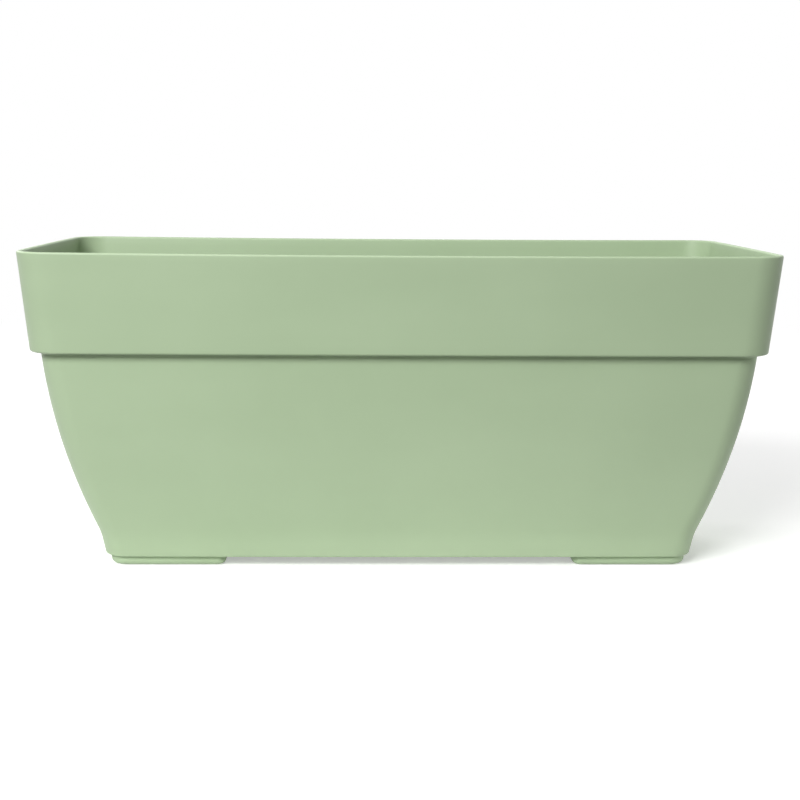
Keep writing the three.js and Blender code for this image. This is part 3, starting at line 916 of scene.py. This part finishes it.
def makePlate():
    p = plateSizes
    plate = sweptPiece("reservoirPlate", plateRows(), plateFinish)
    print("plate swept:", len(plate.data.polygons), "faces")
    halfX, halfY, wall = p["holeLength"] / 2, p["holeDepth"] / 2, p["lipWall"]
    lipZ, lipEdge, holeEdge = plateBottomZ - p["lipHeight"], p["lipEdge"], p["holeEdge"]
    rounding = turnShares(0, 90, 4)
    lip = [(lipZ + lipEdge * (1 - up), lipEdge * (1 - out)) for out, up in rounding]
    lip = [(halfX + wall, halfY + wall, z, inset) for z, inset in [*lip, (plateBottomZ + rooted, 0)]]
    hole = [(lipZ - overcut, 0), (plateTopZ - holeEdge, 0)]
    hole += [(plateTopZ - holeEdge * (1 - up), -holeEdge * (1 - out)) for up, out in rounding[1:]]
    hole = [(halfX, halfY, z, inset) for z, inset in [*hole, (plateTopZ + overcut, -holeEdge)]]
    added, cut = [], []
    for side in (-1, 1):
        x, wellX = side * spoutSizes["pitch"] / 2, side * p["wellPitch"] / 2
        added += [stack("lip", lip, p["holeRadius"] + wall, x), wellBody(wellX, False)]
        cut += [stack("hole", hole, p["holeRadius"], x), wellBody(wellX, True), *wellSlotCutters(wellX)]
    carve(plate, "UNION", added)

    # the slots fill the top face, apart from where the wells and the finger holes are
    low = bodyRow(plateBottomZ, s["wall"] + p["clearance"] + p["skirtThickness"])
    countX = 2 * int((length / 2 - low[0] - p["slotEdge"] - p["slotLength"] / 2) // p["slotPitchX"]) + 1
    countY = 2 * int((depth / 2 - low[1] - p["slotEdge"] - p["slotWidth"] / 2) // p["slotPitchY"]) + 1
    aroundX = p["slotLength"] + 2 * p["slotBridge"]
    aroundY = p["slotWidth"] + 2 * p["slotBridge"]
    gaps = (
        (p["wellPitch"], p["wellLength"] + aroundX, p["wellDepth"] + aroundY),
        (spoutSizes["pitch"], p["holeLength"] + 2 * wall + aroundX, p["holeDepth"] + 2 * wall + aroundY))
    slot = slotCutter("slot", p["slotLength"], p["slotWidth"], plateBottomZ - overcut, plateTopZ + overcut)
    cut.append(inRows(slot, countX, countY, p["slotPitchX"], p["slotPitchY"], gaps))
    carve(plate, "DIFFERENCE", cut)
    return finishMesh(plate, plateFinish)


def makePlug(name, side):
    g = plugSizes
    flangeZ = spoutTopZ + plateSizes["rest"]
    tipZ = flangeZ - g["shankLength"]
    stemZ = flangeZ + g["flangeThickness"]
    knobZ = stemZ + g["stemHeight"]
    topZ = knobZ + g["knobThickness"]
    shank = spoutSizes["boreRadius"] - g["clearance"]

    def shankAt(z):
        return shank - g["shankDraft"] * (flangeZ - z)

    tip, (mouth, bottom), hollowZ = g["tipRadius"], g["hollowInsets"], tipZ + g["hollowDepth"]
    profile = [(0, hollowZ), (shankAt(tipZ) - bottom, hollowZ), (shankAt(tipZ) - mouth, tipZ)]
    profile += arc(shankAt(tipZ) - tip, tipZ + tip, tip, 270, 360)
    for ribRise in g["ribRises"]:
        for a in spaced(-math.pi / 2, math.pi / 2, 6):
            ribR = shankAt(tipZ + ribRise) + g["ribHeight"] * math.cos(a)
            profile.append((ribR, tipZ + ribRise + g["ribWidth"] * a / math.pi))
    root, foot, flangeR = g["rootFillet"], g["flangeFootRadius"], g["flangeRadius"]
    profile.append((shankAt(flangeZ - root), flangeZ - root))
    profile += arc(shank + root, flangeZ - root, root, 180, 90)[1:-1]
    profile.append((flangeR - foot, flangeZ))
    profile += arc(flangeR - foot, flangeZ + foot, foot, 270, 360)[1:]
    edge, stem, fillet, neck = g["edgeRadius"], g["stemRadius"], g["stemFillet"], g["neckFillet"]
    profile += arc(flangeR - edge, stemZ - edge, edge, 0, 90)
    profile += arc(stem + fillet, stemZ + fillet, fillet, 270, 180)
    profile += arc(stem + neck, knobZ - neck, neck, 180, 90)
    profile += arc(g["knobRadius"] - edge, knobZ + edge, edge, 270, 360)
    profile += arc(g["knobRadius"] - edge, topZ - edge, edge, 0, 90)
    profile += [(radius, topZ - deep) for radius, deep in g["dimple"]]
    place = side * spoutSizes["pitch"] / 2 * mm
    return finishMesh(turned(name, toMetres(profile), x=place), rubberFinish)


# Tells the frame what the piece moves with and what it stands for.
def placed(piece, body, node):
    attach(piece, body)
    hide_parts(node)
    print(piece.name, len(piece.data.polygons), "faces")


placed(makeShell(), "trough", "trough_shell")
for endName, sideX in (("left", -1), ("right", 1)):
    for rowName, sideY in (("front", -1), ("rear", 1)):
        foot = makeFoot(f"{rowName}{endName.title()}Foot", sideX, sideY)
        placed(foot, "trough", f"{rowName}_{endName}_foot")
    drainPlug = makePlug("drainPlug" + endName.title(), sideX)
    placed(drainPlug, "drain_plug_" + endName, "drain_plug_" + endName)
placed(makePlate(), "reservoir_plate", "reservoir_plate")


# The floor is a white sheet with a pale mat under the planter. Its sizes are in metres.
floorLook = {
    "half": 6.0,
    "drop": 0.0002,  # how far it lies below the feet
    "fade": (0.55, 1.6),  # where the sheet runs out into plain white, from the middle
    "mat": (0.21, 0.08),  # half length and half depth of the pale mat under the planter
    "matEdge": (0.14, 0.22),  # how far past that the mat fades out
    "bounce": (0.88, 0.06),  # how much light the mat and the sheet beyond it send back
    "white": 0.90,
    "lift": 0.40,  # evens the sheet out as the lens sees it
}


def makeFloor(look):
    half = look["half"]
    mesh = bpy.data.meshes.new("studioFloor")
    corners = [(-half, -half), (half, -half), (half, half), (-half, half)]
    mesh.from_pydata([(x, y, -look["drop"]) for x, y in corners], [], [(0, 1, 2, 3)])
    floor = linkedPiece("studioFloor", mesh)
    material = bpy.data.materials.new("floorWhite")
    material.use_nodes = True
    tree = material.node_tree
    tree.nodes.clear()
    spot = tree.nodes.new("ShaderNodeTexCoord").outputs["Object"]

    def vectorMaths(operation, *values):
        step = tree.nodes.new("ShaderNodeVectorMath")
        step.operation = operation
        for value, socket in zip(values, step.inputs):
            plug(tree, value, socket)
        return step.outputs

    fromMiddle = vectorMaths("LENGTH", spot)["Value"]
    past = vectorMaths("SUBTRACT", vectorMaths("ABSOLUTE", spot)[0], (*look["mat"], 0))[0]
    fromMat = vectorMaths("LENGTH", vectorMaths("MAXIMUM", past, (0, 0, 0))[0])["Value"]

    def outward(away, start, end, low, high):
        step = made(
            tree, "ShaderNodeMapRange", {"interpolation_type": "SMOOTHSTEP"},
            Value=away, From_Min=start, From_Max=end, To_Min=low, To_Max=high)
        return step.outputs[0]

    path = tree.nodes.new("ShaderNodeLightPath").outputs
    seen = maths(tree, "MAXIMUM", path["Is Camera Ray"], path["Is Glossy Ray"])
    bounce = outward(fromMat, *look["matEdge"], *look["bounce"])
    shade = made(tree, "ShaderNodeMix", {"data_type": "FLOAT"}, Factor=seen)
    plug(tree, bounce, shade.inputs[2])
    shade.inputs[3].default_value = look["white"]
    matt = made(tree, "ShaderNodeBsdfDiffuse", Color=shade.outputs[0])
    lift = made(tree, "ShaderNodeEmission", Strength=maths(tree, "MULTIPLY", seen, look["lift"]))
    near = tree.nodes.new("ShaderNodeAddShader")
    tree.links.new(matt.outputs[0], near.inputs[0])
    tree.links.new(lift.outputs[0], near.inputs[1])
    far = made(tree, "ShaderNodeEmission", Strength=1.0)
    mix = tree.nodes.new("ShaderNodeMixShader")
    plug(tree, maths(tree, "MULTIPLY", seen, outward(fromMiddle, *look["fade"], 0, 1)), mix.inputs[0])
    tree.links.new(near.outputs[0], mix.inputs[1])
    tree.links.new(far.outputs[0], mix.inputs[2])
    out = tree.nodes.new("ShaderNodeOutputMaterial")
    tree.links.new(mix.outputs[0], out.inputs["Surface"])
    mesh.materials.append(material)


# Lamps stand round the planter: degrees to the right of the front, degrees up, metres off, watts.
studioLamps = {
    "keyLeft": {"turn": -28, "rise": 32, "away": 1.9, "power": 35.5},
    "above": {"turn": 0, "rise": 60, "away": 1.2, "power": 1.5},
    "lowRight": {"turn": 92, "rise": 0.5, "away": 2.0, "power": 9.2, "tall": 0.1, "glints": False},
    "rearLeft": {"turn": -130, "rise": 30, "away": 2.5, "power": 12},
    "rear": {"turn": 180, "rise": 30, "away": 2.5, "power": 34, "glints": False},
}
lampShape = {"wide": 0.5, "tall": 0.35, "aim": 0.1}  # panel sizes for each metre off; height aimed at
worldStrength = 0.01  # a trace of light from all round


def makeLamp(name, lamp, shape):
    data = bpy.data.lights.new(name, "AREA")
    data.shape = "RECTANGLE"
    data.size, data.size_y = lamp["away"] * shape["wide"], lamp["away"] * lamp.get("tall", shape["tall"])
    data.energy = lamp["power"]
    holder = linkedPiece(name, data)
    holder.visible_glossy = lamp.get("glints", True)
    turn, rise = math.radians(lamp["turn"]), math.radians(lamp["rise"])
    target = Vector((0, 0, shape["aim"]))
    outward = Vector((math.cos(rise) * math.sin(turn), -math.cos(rise) * math.cos(turn), math.sin(rise)))
    facing = (-outward).to_track_quat("-Z", "Y").to_matrix().to_4x4()
    holder.matrix_world = Matrix.Translation(target + lamp["away"] * outward) @ facing


# Plain white to the lens and in reflections, and next to dark to everything else.
def makeWorld(strength):
    world = bpy.data.worlds.new("studioWorld")
    world.use_nodes = True
    tree = world.node_tree
    tree.nodes.clear()
    path = tree.nodes.new("ShaderNodeLightPath").outputs
    seen = maths(tree, "MAXIMUM", path["Is Camera Ray"], path["Is Transmission Ray"])
    seen = maths(tree, "MAXIMUM", seen, path["Is Glossy Ray"])
    level = made(tree, "ShaderNodeMapRange", Value=seen, To_Min=strength, To_Max=1.0)
    sky = made(tree, "ShaderNodeBackground", Color=(1, 1, 1, 1), Strength=level.outputs[0])
    out = tree.nodes.new("ShaderNodeOutputWorld")
    tree.links.new(sky.outputs[0], out.inputs["Surface"])
    bpy.context.scene.world = world


viewPoint = {
    "at": (-0.0231, -0.9894, 0.2683),
    "yaw": 0.0276,  # radians, turned to the right
    "pitch": 0.1651,  # radians, down
    "roll": 0.0079,  # radians
    "focalPixels": 1382.0,
    "middle": (404.25, 401.2),  # where the lens axis meets the picture
    "picture": 800,
    "sensorWidth": 36.0,  # millimetres
    "clip": (0.05, 30),
}


def makeCamera(v):
    data = bpy.data.cameras.new("photoView")
    data.sensor_width = v["sensorWidth"]
    data.lens = v["focalPixels"] / v["picture"] * data.sensor_width
    data.shift_x = (v["picture"] / 2 - v["middle"][0]) / v["picture"]
    data.shift_y = (v["middle"][1] - v["picture"] / 2) / v["picture"]
    data.clip_start, data.clip_end = v["clip"]
    holder = linkedPiece("photoView", data)
    ahead = Vector((
        math.sin(v["yaw"]) * math.cos(v["pitch"]),
        math.cos(v["yaw"]) * math.cos(v["pitch"]),
        -math.sin(v["pitch"]),
    ))
    level = Vector((math.cos(v["yaw"]), -math.sin(v["yaw"]), 0))
    above = level.cross(ahead)
    right = math.cos(v["roll"]) * level + math.sin(v["roll"]) * above
    up = right.cross(ahead)
    turn = Matrix((right, up, -ahead)).transposed().to_4x4()
    holder.matrix_world = Matrix.Translation(Vector(v["at"])) @ turn
    bpy.context.scene.camera = holder


makeFloor(floorLook)
for name, lamp in studioLamps.items():
    makeLamp(name, lamp, lampShape)
makeWorld(worldStrength)
makeCamera(viewPoint)
bpy.context.scene.view_settings.view_transform = "Standard"
print("stage set")
